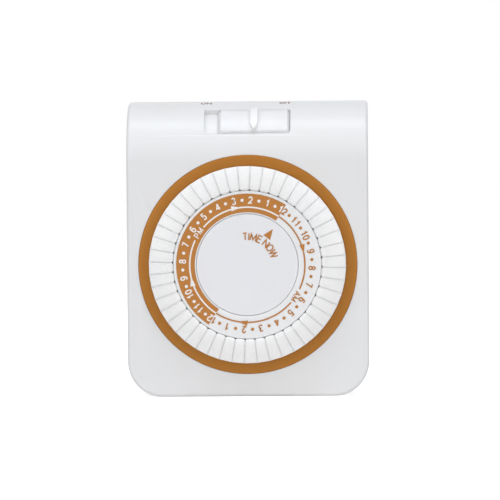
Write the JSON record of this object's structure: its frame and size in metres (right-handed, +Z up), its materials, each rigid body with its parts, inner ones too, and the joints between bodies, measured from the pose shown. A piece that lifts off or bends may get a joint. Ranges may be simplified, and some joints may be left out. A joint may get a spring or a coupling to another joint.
{
  "type": "plug-in timer switch",
  "caption": "Plug-in mechanical timer switch: white housing, turning day dial with push tabs, copper ring, mode slider on the rolled edge, plug behind and outlet on the side.",
  "frame": {"origin": "midway between the two plug blades, on the flat back face that meets the wall socket", "axes": "+X to the right as seen from the front, +Y from the dial back into the wall, +Z up"},
  "size_m": [0.067, 0.0598, 0.082],
  "materials": {
    "housing_white": "satin moulded plastic",
    "cap_white": "smooth moulded plastic with a printed arc of lettering",
    "slider_white": "satin moulded plastic",
    "tab_white": "smooth moulded plastic",
    "outlet_white": "satin moulded plastic",
    "printed_ring": "white plastic, printed orange over the half from noon to midnight, with numerals and marks",
    "bezel_copper": "copper-brown metallic lacquer",
    "gear_nylon": "natural nylon",
    "steel": "bright steel",
    "spring_steel": "spring steel",
    "screw_steel": "zinc plated",
    "zinc_steel": "zinc-plated sheet",
    "blade_brass": "polished brass",
    "strip_brass": "stamped brass",
    "bronze": "spring bronze",
    "wire_black": "insulated wire"
  },
  "bodies": {
    "housing": {"front_housing": "housing_white", "rear_cover": "housing_white", "dial_bezel": "bezel_copper", "centre_cap": "cap_white", "layshaft_axle": "steel", "gear_plate": "steel", "motor_can": "zinc_steel", "housing_screws": "screw_steel", "plate_screws": "screw_steel", "motor_screws": "screw_steel", "lever_pin": "steel", "hot_blade": "blade_brass", "neutral_blade": "blade_brass", "hot_strip": "strip_brass", "neutral_strip": "strip_brass", "ground_pin": "blade_brass", "ground_strap": "strip_brass", "hot_clip": "bronze", "neutral_clip": "bronze", "ground_clip": "bronze", "outlet_face": "outlet_white", "motor_leads": "wire_black"},
    "dial": {"number_ring": "printed_ring", "tab_carrier": "gear_nylon"},
    "drive_pinion": {"drive_pinion": "gear_nylon", "clutch_spring": "spring_steel"},
    "clutch_wheel": {"clutch_wheel": "gear_nylon"},
    "layshaft_gear": {"layshaft_gear": "gear_nylon"},
    "motor_pinion": {"motor_pinion": "gear_nylon"},
    "mode_slider": {"mode_slider": "slider_white"},
    "trip_lever": {"trip_lever": "gear_nylon"},
    "contact_arm": {"contact_arm": "bronze"},
    "tabs_hour_00": {"tabs_hour_00": "tab_white"},
    "tabs_hour_01": {"tabs_hour_01": "tab_white"},
    "tabs_hour_02": {"tabs_hour_02": "tab_white"},
    "tabs_hour_03": {"tabs_hour_03": "tab_white"},
    "tabs_hour_04": {"tabs_hour_04": "tab_white"},
    "tabs_hour_05": {"tabs_hour_05": "tab_white"},
    "tabs_hour_06": {"tabs_hour_06": "tab_white"},
    "tabs_hour_07": {"tabs_hour_07": "tab_white"},
    "tabs_hour_08": {"tabs_hour_08": "tab_white"},
    "tabs_hour_09": {"tabs_hour_09": "tab_white"},
    "tabs_hour_10": {"tabs_hour_10": "tab_white"},
    "tabs_hour_11": {"tabs_hour_11": "tab_white"},
    "tabs_hour_12": {"tabs_hour_12": "tab_white"},
    "tabs_hour_13": {"tabs_hour_13": "tab_white"},
    "tabs_hour_14": {"tabs_hour_14": "tab_white"},
    "tabs_hour_15": {"tabs_hour_15": "tab_white"},
    "tabs_hour_16": {"tabs_hour_16": "tab_white"},
    "tabs_hour_17": {"tabs_hour_17": "tab_white"},
    "tabs_hour_18": {"tabs_hour_18": "tab_white"},
    "tabs_hour_19": {"tabs_hour_19": "tab_white"},
    "tabs_hour_20": {"tabs_hour_20": "tab_white"},
    "tabs_hour_21": {"tabs_hour_21": "tab_white"},
    "tabs_hour_22": {"tabs_hour_22": "tab_white"},
    "tabs_hour_23": {"tabs_hour_23": "tab_white"}
  },
  "joints": [
    {"name": "dial_turn", "type": "hinge", "parent": "housing", "child": "dial", "pos_m": [0, 0, -0.0134], "axis": [0, 1, 0], "continuous": true},
    {"name": "tabs_hour_00_push", "type": "slide", "parent": "dial", "child": "tabs_hour_00", "axis": [0, 1, 0], "range_m": [0, 0.0026]},
    {"name": "tabs_hour_01_push", "type": "slide", "parent": "dial", "child": "tabs_hour_01", "axis": [0, 1, 0], "range_m": [0, 0.0026]},
    {"name": "tabs_hour_02_push", "type": "slide", "parent": "dial", "child": "tabs_hour_02", "axis": [0, 1, 0], "range_m": [0, 0.0026]},
    {"name": "tabs_hour_03_push", "type": "slide", "parent": "dial", "child": "tabs_hour_03", "axis": [0, 1, 0], "range_m": [0, 0.0026]},
    {"name": "tabs_hour_04_push", "type": "slide", "parent": "dial", "child": "tabs_hour_04", "axis": [0, 1, 0], "range_m": [0, 0.0026]},
    {"name": "tabs_hour_05_push", "type": "slide", "parent": "dial", "child": "tabs_hour_05", "axis": [0, 1, 0], "range_m": [0, 0.0026]},
    {"name": "tabs_hour_06_push", "type": "slide", "parent": "dial", "child": "tabs_hour_06", "axis": [0, 1, 0], "range_m": [0, 0.0026]},
    {"name": "tabs_hour_07_push", "type": "slide", "parent": "dial", "child": "tabs_hour_07", "axis": [0, 1, 0], "range_m": [0, 0.0026]},
    {"name": "tabs_hour_08_push", "type": "slide", "parent": "dial", "child": "tabs_hour_08", "axis": [0, 1, 0], "range_m": [0, 0.0026]},
    {"name": "tabs_hour_09_push", "type": "slide", "parent": "dial", "child": "tabs_hour_09", "axis": [0, 1, 0], "range_m": [0, 0.0026]},
    {"name": "tabs_hour_10_push", "type": "slide", "parent": "dial", "child": "tabs_hour_10", "axis": [0, 1, 0], "range_m": [0, 0.0026]},
    {"name": "tabs_hour_11_push", "type": "slide", "parent": "dial", "child": "tabs_hour_11", "axis": [0, 1, 0], "range_m": [0, 0.0026]},
    {"name": "tabs_hour_12_push", "type": "slide", "parent": "dial", "child": "tabs_hour_12", "axis": [0, 1, 0], "range_m": [0, 0.0026]},
    {"name": "tabs_hour_13_push", "type": "slide", "parent": "dial", "child": "tabs_hour_13", "axis": [0, 1, 0], "range_m": [0, 0.0026]},
    {"name": "tabs_hour_14_push", "type": "slide", "parent": "dial", "child": "tabs_hour_14", "axis": [0, 1, 0], "range_m": [0, 0.0026]},
    {"name": "tabs_hour_15_push", "type": "slide", "parent": "dial", "child": "tabs_hour_15", "axis": [0, 1, 0], "range_m": [0, 0.0026]},
    {"name": "tabs_hour_16_push", "type": "slide", "parent": "dial", "child": "tabs_hour_16", "axis": [0, 1, 0], "range_m": [0, 0.0026]},
    {"name": "tabs_hour_17_push", "type": "slide", "parent": "dial", "child": "tabs_hour_17", "axis": [0, 1, 0], "range_m": [0, 0.0026]},
    {"name": "tabs_hour_18_push", "type": "slide", "parent": "dial", "child": "tabs_hour_18", "axis": [0, 1, 0], "range_m": [0, 0.0026]},
    {"name": "tabs_hour_19_push", "type": "slide", "parent": "dial", "child": "tabs_hour_19", "axis": [0, 1, 0], "range_m": [0, 0.0026]},
    {"name": "tabs_hour_20_push", "type": "slide", "parent": "dial", "child": "tabs_hour_20", "axis": [0, 1, 0], "range_m": [0, 0.0026]},
    {"name": "tabs_hour_21_push", "type": "slide", "parent": "dial", "child": "tabs_hour_21", "axis": [0, 1, 0], "range_m": [0, 0.0026]},
    {"name": "tabs_hour_22_push", "type": "slide", "parent": "dial", "child": "tabs_hour_22", "axis": [0, 1, 0], "range_m": [0, 0.0026]},
    {"name": "tabs_hour_23_push", "type": "slide", "parent": "dial", "child": "tabs_hour_23", "axis": [0, 1, 0], "range_m": [0, 0.0026]},
    {"name": "drive_pinion_turn", "type": "hinge", "parent": "housing", "child": "drive_pinion", "pos_m": [-0.01237, 0, -0.02577], "axis": [0, 1, 0], "continuous": true},
    {"name": "clutch_wheel_turn", "type": "hinge", "parent": "housing", "child": "clutch_wheel", "pos_m": [-0.01237, 0, -0.02577], "axis": [0, 1, 0], "continuous": true},
    {"name": "layshaft_turn", "type": "hinge", "parent": "housing", "child": "layshaft_gear", "pos_m": [-0.01828, 0, -0.00954], "axis": [0, 1, 0], "continuous": true},
    {"name": "motor_pinion_turn", "type": "hinge", "parent": "housing", "child": "motor_pinion", "pos_m": [-0.00419, 0, -0.00441], "axis": [0, 1, 0], "continuous": true},
    {"name": "mode_slide", "type": "slide", "parent": "housing", "child": "mode_slider", "axis": [-1, 0, 0], "range_m": [0, 0.0038]},
    {"name": "trip_lever_swing", "type": "hinge", "parent": "housing", "child": "trip_lever", "pos_m": [0.01392, -0.0268, 0.02079], "axis": [1, 0, 0], "range_deg": [0, 10], "stiffness_Nm_per_rad": 0.005, "springref_deg": -1.15},
    {"name": "contact_arm_bend", "type": "hinge", "parent": "housing", "child": "contact_arm", "pos_m": [0.01392, -0.0229, -0.003], "axis": [-1, 0, 0], "range_deg": [0, 3.6]}
  ],
  "couplings": [
    {"joint": "drive_pinion_turn", "follows": "dial_turn", "ratio": 6},
    {"joint": "layshaft_turn", "follows": "clutch_wheel_turn", "ratio": -5},
    {"joint": "motor_pinion_turn", "follows": "clutch_wheel_turn", "ratio": 20},
    {"joint": "contact_arm_bend", "follows": "trip_lever_swing", "ratio": 0.36}
  ]
}
